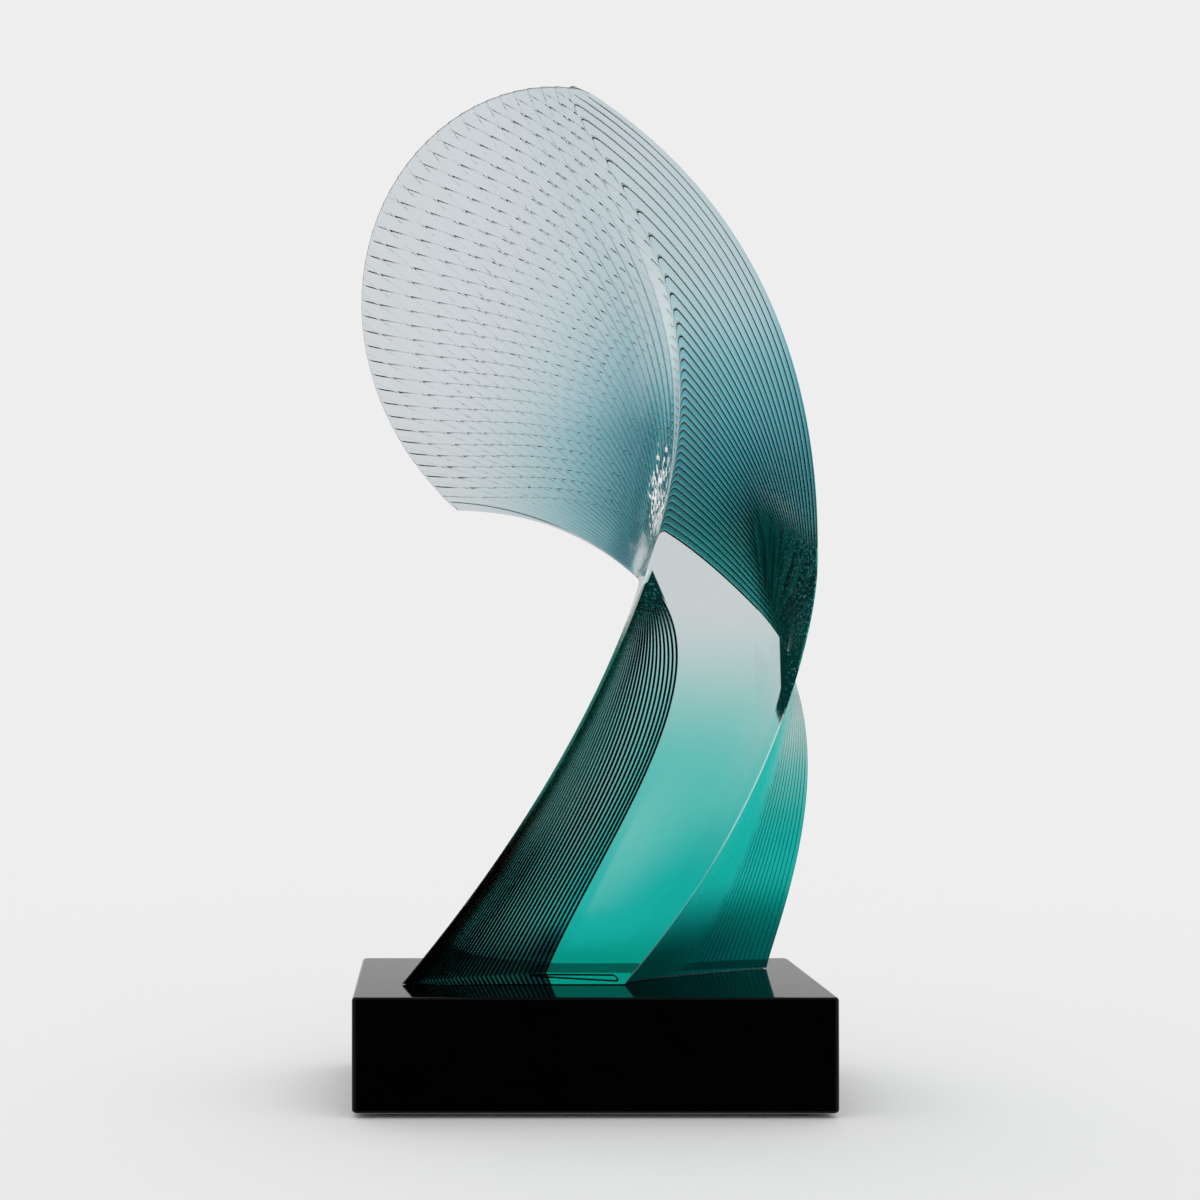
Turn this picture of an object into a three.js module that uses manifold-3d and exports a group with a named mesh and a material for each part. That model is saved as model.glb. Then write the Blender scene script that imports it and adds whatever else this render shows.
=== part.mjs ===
// Ribbed resin fan sculpture on a gloss black base block.
// Millimetres and degrees, +Z up, front towards -Y, origin under the middle of the base.
import * as THREE from 'three';
import { mergeVertices } from 'three/addons/utils/BufferGeometryUtils.js';
import Module from 'manifold-3d';

// Base block and its four pads
const baseWidth = 200;
const baseDepth = 120;
const baseHeight = 47.5;
const baseCornerRadius = 3;
const baseEdgeRadius = 1.6;
const padDiameter = 18;
const padHeight = 2;
const padChamfer = 0.5;
const padInset = 16;

// Clear adhesive film between base and casting
const filmHeight = 0.4;
const filmInset = 1.5;

// Layer stack of the casting, from the front layer to the back layer
const stackDepth = 50;
const layerCount = 40;
const slideEase = 1.5;

// Height of the casting. The outlines below are drawn at drawnHeight and stretched to castingHeight.
const castingHeight = 385.5;
const drawnHeight = 385.5;

// The layer tips follow a snail curve. Heights here and below are above the foot of the casting.
const rimCentreX = -1;
const rimCentreHeight = 321;
const rimFrontRadius = 61.5;
const rimBackRadius = 126.5;
const rimFrontAngle = 88.5;
const rimSweepAngle = 156;
const rimLeadAngle = 12.5;
const tipShare = 0.04;

// Left edge of a layer: from the foot through a neck that all layers share, then out to the tip.
// Front layers keep together below the neck and the back ones turn away from them.
const neckX = 25;
const neckHeight = 177;
const neckAngleEase = 3.3;
const neckPullEase = 0.6;
const leftFootX = { front: -80, back: -17 };
const leftFootFrontAngle = 50;
const leftFootBackAngle = 68;
const leftFootPull = { front: 66, back: 60 };
const leftNeckFrontAngle = 71;
const leftNeckBackAngle = 141;
const leftNeckPullBelow = { front: 71, back: 61 };
const leftNeckPullAbove = { front: 136, back: 10 };
const leftTipFrontAngle = 100;
const leftTipBackAngle = 179.5;
const leftTipPull = { front: 35.5, back: 48.5 };

// Right edge of a layer: from the foot through the shoulder, then over the top to the tip
const rightFootX = { front: 15.5, back: 84 };
const rightFootFrontAngle = 48.5;
const rightFootBackAngle = 81;
const rightFootPull = { front: 98, back: 15 };
const shoulderX = { front: 98, back: 78, bow: -3.5 };
const shoulderHeight = { front: 176.5, back: 161.5, bow: 19.5 };
const shoulderFrontAngle = 88;
const shoulderBackAngle = 134;
const shoulderPullBelow = { front: 23, back: 73 };
const shoulderPullAbove = { front: 78, back: 90.5, bow: 36 };
const rightTipFrontAngle = 147;
const rightTipBackAngle = 176;
const rightTipPull = { front: 91.5, back: 50 };

// Facets per stretch of a layer outline
const lowerFacets = 8;
const upperFacets = 12;
const tipFacets = 2;
const cornerFacets = 4;
const edgeFacets = 3;
const padFacets = 32;

const { lerp, degToRad } = THREE.MathUtils;

const wasm = await Module();
wasm.setup();

function solidOf(geometry) {
  geometry.deleteAttribute('normal');
  geometry.deleteAttribute('uv');
  const merged = mergeVertices(geometry);
  const vertProperties = new Float32Array(merged.attributes.position.array);
  const triVerts = new Uint32Array(merged.index.array);
  return new wasm.Manifold(new wasm.Mesh({ numProp: 3, vertProperties, triVerts }));
}

function geometryOf(solid) {
  const mesh = solid.getMesh();
  const geometry = new THREE.BufferGeometry();
  geometry.setAttribute('position', new THREE.BufferAttribute(new Float32Array(mesh.vertProperties), 3));
  geometry.setIndex(new THREE.BufferAttribute(new Uint32Array(mesh.triVerts), 1));
  geometry.computeVertexNormals();
  return geometry;
}

// A value of layer share u: straight from front to back, plus an even bow that is zero at both ends
function along(value, u) {
  return lerp(value.front, value.back, u) + (value.bow ?? 0) * 4 * u * (1 - u);
}

function heading(degrees, length) {
  const angle = degToRad(degrees);
  return new THREE.Vector2(Math.cos(angle), Math.sin(angle)).multiplyScalar(length);
}

// Point on the snail curve of the tips, t from 0 at the top to 1 at the fan's lower corner
function rimPoint(t) {
  const angle = rimFrontAngle + rimSweepAngle * t + rimLeadAngle * 4 * t * (1 - t);
  const radius = lerp(rimFrontRadius, rimBackRadius, t);
  return heading(angle, radius).add(new THREE.Vector2(rimCentreX, rimCentreHeight));
}

// Two cubic curves that share a point and a direction there
function twoCurves(foot, footHeading, middle, below, above, tip, tipHeading) {
  const first = foot.clone().add(footHeading);
  const second = middle.clone().sub(below);
  const third = middle.clone().add(above);
  const fourth = tip.clone().sub(tipHeading);
  const lower = new THREE.CubicBezierCurve(foot, first, second, middle);
  const upper = new THREE.CubicBezierCurve(middle, third, fourth, tip);
  return [...lower.getPoints(lowerFacets), ...upper.getPoints(upperFacets).slice(1)];
}

function leftEdge(u) {
  const slide = u ** slideEase;
  const foot = new THREE.Vector2(along(leftFootX, slide), 0);
  const neck = new THREE.Vector2(neckX, neckHeight);
  const neckAngle = lerp(leftNeckFrontAngle, leftNeckBackAngle, u ** neckAngleEase);
  return twoCurves(
    foot,
    heading(lerp(leftFootFrontAngle, leftFootBackAngle, slide), along(leftFootPull, u)),
    neck,
    heading(neckAngle, along(leftNeckPullBelow, u)),
    heading(neckAngle, along(leftNeckPullAbove, u ** neckPullEase)),
    rimPoint(tipShare + (1 - tipShare) * u),
    heading(lerp(leftTipFrontAngle, leftTipBackAngle, u), along(leftTipPull, u)),
  );
}

function rightEdge(u) {
  const slide = u ** slideEase;
  const foot = new THREE.Vector2(along(rightFootX, slide), 0);
  const shoulder = new THREE.Vector2(along(shoulderX, u), along(shoulderHeight, u));
  const angle = lerp(shoulderFrontAngle, shoulderBackAngle, u);
  return twoCurves(
    foot,
    heading(lerp(rightFootFrontAngle, rightFootBackAngle, slide), along(rightFootPull, u)),
    shoulder,
    heading(angle, along(shoulderPullBelow, u)),
    heading(angle, along(shoulderPullAbove, u)),
    rimPoint((1 - tipShare) * u),
    heading(lerp(rightTipFrontAngle, rightTipBackAngle, u), along(rightTipPull, u)),
  );
}

function layerOutline(u) {
  const right = rightEdge(u);
  const left = leftEdge(u);
  const tip = [];
  for (let k = 1; k < tipFacets; k += 1) {
    tip.push(rimPoint((1 - tipShare) * u + (tipShare * k) / tipFacets));
  }
  return [...right, ...tip, ...left.reverse()];
}

const castingFoot = padHeight + baseHeight + filmHeight;

function stackPlane(index) {
  return -stackDepth / 2 + (stackDepth * index) / layerCount;
}

// One layer stands upright: the outline's own y becomes height, and its thickness runs along Y
function layerSolid(index) {
  const shape = new THREE.Shape(layerOutline(index / (layerCount - 1)));
  const geometry = new THREE.ExtrudeGeometry(shape, { depth: 1, bevelEnabled: false });
  const position = geometry.attributes.position;
  for (let v = 0; v < position.count; v += 1) {
    const height = castingFoot + (position.getY(v) * castingHeight) / drawnHeight;
    const isBack = position.getZ(v) < 0.5;
    position.setXYZ(v, position.getX(v), stackPlane(index + (isBack ? 1 : 0)), height);
  }
  return solidOf(geometry);
}

function makeCasting() {
  let casting = layerSolid(0);
  for (let index = 1; index < layerCount; index += 1) {
    casting = casting.add(layerSolid(index));
  }
  return geometryOf(casting);
}

// The film follows the foot of the casting, drawn in by the same amount on every side
function makeFilm() {
  const outline = [];
  for (let index = 0; index < layerCount; index += 1) {
    const u = index / (layerCount - 1);
    const y = lerp(-stackDepth / 2 + filmInset, stackDepth / 2 - filmInset, u);
    outline.push(new THREE.Vector2(along(rightFootX, u ** slideEase) - filmInset, y));
  }
  for (let index = layerCount - 1; index >= 0; index -= 1) {
    const u = index / (layerCount - 1);
    const y = lerp(-stackDepth / 2 + filmInset, stackDepth / 2 - filmInset, u);
    outline.push(new THREE.Vector2(along(leftFootX, u ** slideEase) + filmInset, y));
  }
  const shape = new THREE.Shape(outline);
  return new THREE.ExtrudeGeometry(shape, { depth: filmHeight, bevelEnabled: false });
}

function roundedRectangle(width, depth, radius) {
  const x = width / 2;
  const y = depth / 2;
  const shape = new THREE.Shape();
  shape.absarc(x - radius, y - radius, radius, 0, Math.PI / 2);
  shape.absarc(radius - x, y - radius, radius, Math.PI / 2, Math.PI);
  shape.absarc(radius - x, radius - y, radius, Math.PI, Math.PI * 1.5);
  shape.absarc(x - radius, radius - y, radius, Math.PI * 1.5, Math.PI * 2);
  shape.closePath();
  return shape;
}

function makeBase() {
  const edge = baseEdgeRadius;
  const shape = roundedRectangle(baseWidth - 2 * edge, baseDepth - 2 * edge, baseCornerRadius - edge);
  const geometry = new THREE.ExtrudeGeometry(shape, {
    depth: baseHeight - 2 * edge,
    bevelThickness: edge,
    bevelSize: edge,
    bevelSegments: edgeFacets,
    curveSegments: cornerFacets,
  });
  return geometry.translate(0, 0, edge);
}

function makePad() {
  const radius = padDiameter / 2;
  const profile = [
    new THREE.Vector2(0, 0),
    new THREE.Vector2(radius - padChamfer, 0),
    new THREE.Vector2(radius, padChamfer),
    new THREE.Vector2(radius, padHeight),
    new THREE.Vector2(0, padHeight),
  ];
  return new THREE.LatheGeometry(profile, padFacets).rotateX(Math.PI / 2);
}

function finish(colour, roughness, metalness, opacity = 1) {
  return new THREE.MeshStandardMaterial({
    color: colour,
    roughness,
    metalness,
    opacity,
    transparent: opacity < 1,
  });
}

const tealResin = finish(0x4fb5a8, 0.05, 0, 0.45);
const clearFilm = finish(0xd8e6e2, 0.1, 0, 0.5);
const blackLacquer = finish(0x050505, 0.08, 0);
const blackRubber = finish(0x1a1a1a, 0.85, 0);

const sculpture = new THREE.Group();

function place(name, geometry, material, x, y, z) {
  const mesh = new THREE.Mesh(geometry, material);
  mesh.name = name;
  mesh.position.set(x, y, z);
  sculpture.add(mesh);
}

place('fan_casting', makeCasting(), tealResin, 0, 0, 0);
place('bond_film', makeFilm(), clearFilm, 0, 0, padHeight + baseHeight);
place('base_block', makeBase(), blackLacquer, 0, 0, padHeight);

const padX = baseWidth / 2 - padInset;
const padY = baseDepth / 2 - padInset;
for (const [side, x] of [['left', -padX], ['right', padX]]) {
  place(`foot_front_${side}`, makePad(), blackRubber, x, -padY, 0);
  place(`foot_back_${side}`, makePad(), blackRubber, x, padY, 0);
}

export default sculpture;
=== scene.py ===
import math

import bpy
import numpy as np
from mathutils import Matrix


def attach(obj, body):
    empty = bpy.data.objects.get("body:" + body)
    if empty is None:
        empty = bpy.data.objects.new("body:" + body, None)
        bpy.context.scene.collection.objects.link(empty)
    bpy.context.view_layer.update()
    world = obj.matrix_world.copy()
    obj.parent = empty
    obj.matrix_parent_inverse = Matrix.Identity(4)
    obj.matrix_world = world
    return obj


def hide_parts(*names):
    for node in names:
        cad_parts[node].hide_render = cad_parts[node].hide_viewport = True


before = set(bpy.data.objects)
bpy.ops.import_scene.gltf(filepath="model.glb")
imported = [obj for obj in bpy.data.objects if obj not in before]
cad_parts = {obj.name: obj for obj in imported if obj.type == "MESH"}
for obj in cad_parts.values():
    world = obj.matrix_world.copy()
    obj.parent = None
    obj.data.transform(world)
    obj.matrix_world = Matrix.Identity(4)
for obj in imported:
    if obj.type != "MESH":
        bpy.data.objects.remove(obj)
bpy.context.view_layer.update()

mm = 0.001
tiny = 1e-6  # keeps a divisor off zero
scene = bpy.context.scene
print("frame loaded")


# A shader socket that can be added, multiplied and raised like a number
class Sock:
    def __init__(self, paint, socket):
        self.paint = paint
        self.socket = socket

    def maths(self, operation, *values, clamp=False):
        settings = {"operation": operation, "use_clamp": clamp}
        return self.paint.node("Math", dict(enumerate(values)), settings)

    def __add__(self, other):
        return self.maths("ADD", self, other)

    def __sub__(self, other):
        return self.maths("SUBTRACT", self, other)

    def __rsub__(self, other):
        return self.maths("SUBTRACT", other, self)

    def __mul__(self, other):
        return self.maths("MULTIPLY", self, other)

    def __truediv__(self, other):
        return self.maths("DIVIDE", self, other)

    def __rtruediv__(self, other):
        return self.maths("DIVIDE", other, self)

    def __pow__(self, other):
        return self.maths("POWER", self, other)

    def __rpow__(self, other):
        return self.maths("POWER", other, self)

    def __abs__(self):
        return self.maths("ABSOLUTE", self)

    __radd__ = __add__
    __rmul__ = __mul__

    def held(self):
        return self.maths("ADD", self, 0.0, clamp=True)

    # 0 before the start, 1 after the end, eased between
    def eased(self, start, end):
        values = {"Value": self, "From Min": start, "From Max": end}
        return self.paint.node("MapRange", values, {"interpolation_type": "SMOOTHSTEP"})

    def faded(self, start, end):
        return 1 - self.eased(start, end)


# A node tree of one material or of the world
class Paint:
    def __init__(self, owner):
        owner.use_nodes = True
        self.owner = owner
        self.tree = owner.node_tree
        self.tree.nodes.clear()

    # A node of a kind, with its settings, and values or links for its inputs
    def node(self, kind, values=None, settings=None, output=0):
        node = self.tree.nodes.new("ShaderNode" + kind)
        for name, value in (settings or {}).items():
            setattr(node, name, value)
        for name, value in (values or {}).items():
            if isinstance(value, Sock):
                self.tree.links.new(value.socket, node.inputs[name])
            else:
                node.inputs[name].default_value = value
        return Sock(self, node.outputs[output]) if node.outputs else None

    def mix(self, share, first, second, blend="MIX"):
        settings = {"data_type": "RGBA", "blend_type": blend}
        return self.node("Mix", {0: share, 6: first, 7: second}, settings, output=2)

    def position(self):
        return self.node("NewGeometry", output="Position")

    def part(self, axis):
        return self.node("SeparateXYZ", {0: self.position()}, output=axis)

    def noise(self, scale, detail=2.0, rough=0.5):
        values = {"Vector": self.position(), "Scale": scale, "Detail": detail, "Roughness": rough}
        return self.node("TexNoise", values)

    def bump(self, height, strength, distance):
        values = {"Height": height, "Strength": strength, "Distance": distance}
        return self.node("Bump", values)

    def mark(self, name):
        return self.node("Attribute", settings={"attribute_name": name}, output="Fac")

    def principled(self, values):
        return self.node("BsdfPrincipled", values)

    def surface(self, shader):
        self.node("OutputMaterial", {"Surface": shader})
        return self.owner


def newMaterial(name):
    return Paint(bpy.data.materials.new(name))


def newObject(name, vertices, faces, material, isSmooth=True):
    mesh = bpy.data.meshes.new(name)
    mesh.from_pydata(vertices, [], faces)
    mesh.validate()
    mesh.polygons.foreach_set("use_smooth", [isSmooth] * len(mesh.polygons))
    mesh.materials.append(material)
    made = bpy.data.objects.new(name, mesh)
    scene.collection.objects.link(made)
    return made


# Driving sizes of the casting in mm and degrees: (front layer, back layer, any bow between them)
fanShape = {
    "foot": 49.9, "depth": 50, "layers": 40, "slideEase": 1.5,
    "rimCentre": (-1, 321), "rimRadius": (61.5, 126.5), "rimFront": 88.5, "rimSweep": 156,
    "rimLead": 12.5, "tipShare": 0.04,
    "neck": (25, 177), "neckAngleEase": 3.3, "neckPullEase": 0.6,
    "leftFootX": (-80, -17), "leftFootAngle": (50, 68),
    "leftFootPull": (66, 60), "neckAngle": (71, 141),
    "neckPullBelow": (71, 61), "neckPullAbove": (136, 10),
    "leftTipAngle": (100, 179.5), "leftTipPull": (35.5, 48.5),
    "rightFootX": (15.5, 84), "rightFootAngle": (48.5, 81),
    "rightFootPull": (98, 15),
    "shoulderX": (98, 78, -3.5), "shoulderHeight": (176.5, 161.5, 19.5),
    "shoulderAngle": (88, 134), "shoulderPullBelow": (23, 73),
    "shoulderPullAbove": (78, 90.5, 36),
    "rightTipAngle": (147, 176), "rightTipPull": (91.5, 50),
    "lowerSteps": 72, "upperSteps": 132, "capSteps": 24, "sharpAngle": 35,
    # Roundings of the steps, of the back edge and of the wider front edge
    "stepRound": 0.42, "roundShare": 0.45, "edgeRound": 0.55,
    "leftWide": 2.2, "rightWide": 0.8, "frontDeep": 0.75, "frontRows": 7,
}

count = fanShape["layers"]
lead = fanShape["frontRows"]
low = fanShape["lowerSteps"]  # first column above the neck or shoulder

# Rows of one step: its near corner, the flat tread, its far corner and the riser
rowsPerStep = 6
nearRows = slice(0, 2)
treadRow = 2
farRows = slice(3, 5)
riserRow = 5
backRows = slice(-2, None)  # the rounded back edge


def along(name, u):
    front, back, *bow = fanShape[name]
    return front + (back - front) * u + sum(bow) * 4 * u * (1 - u)


def heading(degrees, length):
    angle = math.radians(degrees)
    return np.array((math.cos(angle), math.sin(angle))) * length


def rimPoint(t):
    angle = fanShape["rimFront"] + fanShape["rimSweep"] * t + fanShape["rimLead"] * 4 * t * (1 - t)
    return heading(angle, between(fanShape["rimRadius"], t)) + np.array(fanShape["rimCentre"])


def cubic(first, second, third, fourth, steps):
    t = np.linspace(0, 1, steps + 1)[:, None]
    s = 1 - t
    return s**3 * first + 3 * s * s * t * second + 3 * s * t * t * third + t**3 * fourth


def twoCurves(foot, footPull, middle, below, above, tip, tipPull):
    lower = cubic(foot, foot + footPull, middle - below, middle, low)
    upper = cubic(middle, middle + above, tip - tipPull, tip, fanShape["upperSteps"])
    return np.vstack((lower, upper[1:]))


def leftEdge(u):
    slide = u ** fanShape["slideEase"]
    angle = along("neckAngle", u ** fanShape["neckAngleEase"])
    share = fanShape["tipShare"]
    return twoCurves(
        np.array((along("leftFootX", slide), 0.0)),
        heading(along("leftFootAngle", slide), along("leftFootPull", u)),
        np.array(fanShape["neck"]),
        heading(angle, along("neckPullBelow", u)),
        heading(angle, along("neckPullAbove", u ** fanShape["neckPullEase"])),
        rimPoint(share + (1 - share) * u),
        heading(along("leftTipAngle", u), along("leftTipPull", u)),
    )


def rightEdge(u):
    slide = u ** fanShape["slideEase"]
    angle = along("shoulderAngle", u)
    return twoCurves(
        np.array((along("rightFootX", slide), 0.0)),
        heading(along("rightFootAngle", slide), along("rightFootPull", u)),
        np.array((along("shoulderX", u), along("shoulderHeight", u))),
        heading(angle, along("shoulderPullBelow", u)),
        heading(angle, along("shoulderPullAbove", u)),
        rimPoint((1 - fanShape["tipShare"]) * u),
        heading(along("rightTipAngle", u), along("rightTipPull", u)),
    )


# Unit vectors square to a curve, pointing to its left (side 1) or its right (side -1)
def squareTo(curve, side):
    run = np.gradient(curve, axis=0)
    run /= np.linalg.norm(run, axis=1)[:, None]
    return np.stack((-run[:, 1], run[:, 0]), axis=1) * side


# All rows of one stepped side, front to back. Every step has a rounded inner and outer corner.
def steppedRows(edges, side, limits):
    pitch = fanShape["depth"] / count
    back = fanShape["depth"] / 2
    r = fanShape["stepRound"]
    bend = 1 - math.sqrt(0.5)
    outward = [squareTo(edge, side) for edge in edges]
    wide = fanShape["leftWide"] if side > 0 else fanShape["rightWide"]
    rows = []
    for turn in np.linspace(0, math.pi / 2, lead):
        inset = outward[0] * (wide * (1 - math.sin(turn)))
        rows.append((edges[0] - inset, fanShape["frontDeep"] * (1 - math.cos(turn)) - back))
    widths = []
    for i in range(count - 1):
        plane = pitch * (i + 1) - back
        width = ((edges[i + 1] - edges[i]) * outward[i]).sum(axis=1)
        share = fanShape["roundShare"] * np.abs(width)
        near = outward[i] * (np.sign(width) * np.minimum(limits[i], share))[:, None]
        far = outward[i + 1] * (np.sign(width) * np.minimum(limits[i + 1], share))[:, None]
        widths.append(width)
        rows += [
            (edges[i], plane - r),
            (edges[i] + near * bend, plane - r * bend),
            (edges[i] + near, plane),
            (edges[i + 1] - far, plane),
            (edges[i + 1] - far * bend, plane + r * bend),
            (edges[i + 1], plane + r),
        ]
    inset = outward[-1] * fanShape["edgeRound"]
    rows += [
        (edges[-1], back - r),
        (edges[-1] - inset * bend, back - r * bend),
        (edges[-1] - inset, back),
    ]
    grid = np.empty((len(rows), len(edges[0]), 3))
    for row, (curve, y) in enumerate(rows):
        grid[row, :, 0] = curve[:, 0]
        grid[row, :, 1] = y
        grid[row, :, 2] = heights(curve)
    grid[:, 0, 2] = fanShape["foot"]
    return grid * mm, np.array(widths)


# How far points lie to the left of a curve, negative to its right
def leftOf(points, curve):
    run = np.diff(curve, axis=0)
    gap = points[:, None, :] - curve[None, :-1, :]
    t = np.clip((gap * run).sum(2) / (run * run).sum(1), 0, 1)
    foot = gap - run[None] * t[:, :, None]
    distance = np.linalg.norm(foot, axis=2)
    nearest = distance.argmin(axis=1)
    rows = np.arange(len(points))
    turn = run[nearest, 0] * gap[rows, nearest, 1] - run[nearest, 1] * gap[rows, nearest, 0]
    return np.sign(turn) * distance[rows, nearest]


# 0 before the start, 1 after the end, eased between
def smooth(value, start, end):
    t = np.clip((value - start) / (end - start), 0, 1)
    return t * t * (3 - 2 * t)


# Share that rises to 1, or falls to 0, over a span of ribs
def rise(value, name):
    return smooth(value, *ribs[name])


def fall(value, name):
    return 1 - rise(value, name)


def between(ends, share):
    return ends[0] + (ends[1] - ends[0]) * share


def middles(values):
    return (values[1:] + values[:-1]) / 2


# Heights of a layer edge above the floor
def heights(curve):
    return curve[:, 1] + fanShape["foot"]


# A round spot, given as (centre, spread) in x and in height
def spot(x, height, spanX, spanZ):
    gapX = (x - spanX[0]) / spanX[1]
    gapZ = (height - spanZ[0]) / spanZ[1]
    return np.exp(-gapX**2 - gapZ**2)


# Where the ribs show painted shade, painted cream highlights or teal painted shade. Lengths and heights
# above the floor in mm.
ribs = {
    # Reach of the step corners, and how they end at the fan's rim
    "lowReach": 0.55, "fanReach": 0.38, "rightReach": 0.36, "arcReach": (0.34, 0.22),
    "arcSpan": (290, 400), "tipTaper": (8, 3), "tipClear": (3, 1), "tipPale": 0.75,
    # Right edges beside the window
    "waist": 173, "lobeLean": 0.17, "lobeBend": 0.5, "lobeFrom": (60, 90),
    "lobeTo": (157, 168), "lobeLeast": 1,
    # Painted shade lines of the left side, below and above the neck
    "ribWidth": (0.02, 0.12), "flankPale": 0.25, "flankPaleFrom": (95, 125),
    "flankPaleTo": (192, 205), "flankPaleSpan": (0.5, 0.75),
    "fanLine": (0.06, 0.48), "crestSpan": (8, 45), "crestGap": (2, 5),
    "fanWidth": (0.1, 0.5), "fanInner": 0.2, "topFade": 0.85, "topFrom": (350, 395),
    "borderLine": 0.8, "borderSpan": (42, 62), "borderStop": 4,
    # Painted shade of the dark apex and of the strip beside it, and the painted white sparkles above it
    "apex": (196, 214), "apexWidth": (0.05, 0.3),
    "stripSpan": (4, 8.5), "stripTop": (195, 212), "stripShade": 0.93,
    "sparkleLow": (241, 247), "sparkleHigh": (257, 288), "sparkleSpan": (6, 9),
    "sparkleLayers": (8, 14), "sparkleShare": 0.5, "sparkleRows": 2, "sparkleSeed": 7,
    # Painted shade dashes in the fan, with a paler spot, and on the rim
    "dashFrom": (0.28, 0.78), "dashTo": (0.93, 0.99), "dashStart": (6, 20), "topStart": (0.5, 3),
    "dashUneven": 0.55, "evenTop": 0.6, "dashSeed": 11,
    "dotFrom": (0.62, 0.8), "dotSpan": (45, 85), "dotTop": (340, 375),
    "gap": 0.8, "gapX": (-10, 26), "gapZ": (302, 14),
    "rimSpan": (6, 12), "rimFrom": (0.42, 0.55),
    # Painted shade arcs, painted cream highlight lines, and the lobe's painted cover on the right side
    "arcLineShade": (0.95, 0.9), "outwardWidth": (0, 0.2), "creamHighlightShare": 0.7, "creamSpan": (5, 25),
    "lobeCover": 0.88, "lobeSmooth": (0.18, 0.55), "lobeLine": 0.6, "lobeLineFrom": (0.2, 0.5),
    "lobePale": 0.6, "lobePaleFrom": (130, 165),
    # Painted shade of the dark fold with its tail
    "foldTop": (250, 268), "foldSlope": 0.75, "foldX": 72, "foldLevel": 238, "foldLean": 0.3,
    "foldSoft": (-3, 5), "foldShade": 0.97, "foldNoCream": 0.01, "foldNoLobe": 0.5,
    "tailTop": (194, 206), "tailFoot": (157, 169), "facingWidth": (-0.05, 0.05),
    # Front edge, with painted highlight and painted shade: along the crest and neck on the left, beside
    # the window on the right
    "crestPale": 0.42, "crestPaleTop": (330, 385), "crestFlat": 0.4, "crestFlatFrom": (290, 325),
    "neckPale": 0.35, "neckPaleFrom": (190, 222), "neckRow": 2,
    "edgeGreen": 0.85, "edgeGreenFrom": (95, 135),
    "edgePale": 0.35, "edgePaleFrom": (95, 120), "edgeDark": 0.6, "edgeLight": 0.1, "edgeLightRows": 3,
    # Painted shade of the arcs and of the fan
    "arcShade": 0.095, "arcTop": 412, "arcFall": 41, "arcPale": 0.45, "arcPaleFrom": (310, 350),
    "fanShade": 3.1, "fanFade": 38, "fanEase": 1.4, "fanTop": 290, "fanRise": 38, "shadeMost": 5,
    "besidePale": 0.6, "besideSpan": (6, 22), "besideFrom": (285, 320),
    "underPale": 0.4, "underSpan": (10, 20), "underFrom": (238, 262),
    "shadeOuter": 1.6, "shadeInner": 0.8, "crestShade": 0.6, "crestShadeSpan": (2, 7), "frontShade": 0.3,
    "fanLift": 0.06, "liftSpan": (5, 30), "capSpan": (-2, 3), "waistSpan": (169, 183),
    "shade": 2.6, "shadeX": (75, 13), "shadeZ": (247, 20),
    "footShade": 3.8, "footSpan": (58, 92), "footBack": 0.3, "footBackSpan": (0.6, 1),
    # Painted shade and painted grey reflection of the left flank
    "flankShade": (0.25, 0.45), "flankSpan": (90, 200),
    "flankDark": (4.5, 2.6), "flankDarkFrom": (88, 115), "flankDarkTo": (165, 195),
    "flankDarkSpan": (0.15, 0.4), "flankFoot": 6, "flankFootTo": (57, 76),
    "flankGrey": 0.9, "flankGreySpan": (0.78, 0.95), "flankGreyTo": (110, 190),
}


# Beside the window every layer steps outwards, so no inner wall shows behind its edge
def stepOutwards():
    first = rights[0][:low + 1]
    for i, edge in enumerate(rights[1:], 1):
        height = heights(edge)
        least = np.interp(edge[:, 1], first[:, 1], first[:, 0]) + ribs["lobeLean"] * i
        gap = edge[:, 0] - least
        moved = (np.hypot(gap, ribs["lobeBend"]) - gap) / 2
        edge[:, 0] += moved * rise(height, "lobeFrom") * fall(height, "lobeTo")


# How far a right edge lies beyond the crest, inside the fan. Below the waist it never does.
def pastCrest(edge, cut):
    past = np.full(len(edge), -1.0)
    past[cut:] = leftOf(edge[cut:], crest)
    return past


def leftLimit(u, edge):
    limit = np.full(len(edge), ribs["lowReach"])
    limit[low:] = ribs["fanReach"]
    return tapered(limit, u)


def rightLimit(u, edge, past):
    limit = np.full(len(edge), ribs["rightReach"])
    arc = between(ribs["arcReach"], rise(heights(edge[low:]), "arcSpan"))
    limit[low:] = np.where(past[low:] > 0, ribs["fanReach"], arc)
    return tapered(limit, u)


def tapered(limit, u):
    taper = ribs["tipTaper"][int(u > ribs["rimFrom"][0])]
    limit[-taper:] *= np.linspace(1, 0, taper)
    return limit


# Edges of all layers from front to back, and the two stepped sides made from them
shares = [i / (count - 1) for i in range(count)]
lefts = [leftEdge(u) for u in shares]
rights = [rightEdge(u) for u in shares]
crest = lefts[0][low:]
stepOutwards()
cuts = [int((heights(edge) < ribs["waist"]).sum()) for edge in rights]  # first columns above the waist
pasts = [pastCrest(edge, cut) for edge, cut in zip(rights, cuts)]
leftLimits = [leftLimit(*layer) for layer in zip(shares, lefts)]
rightLimits = [rightLimit(*layer) for layer in zip(shares, rights, pasts)]
leftGrid, leftWidths = steppedRows(lefts, 1, leftLimits)
rightGrid, rightWidths = steppedRows(rights, -1, rightLimits)
print("layers made")


def stepRows(step):
    first = lead + rowsPerStep * step
    return slice(first, first + rowsPerStep)


# Step of a row, its place in that step, and the layer whose edge it follows
def stepOf(row):
    step = min(max((row - lead) // rowsPerStep, 0), count - 2)
    part = (row - lead) % rowsPerStep
    return step, part, step + int(part >= farRows.start)


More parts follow.
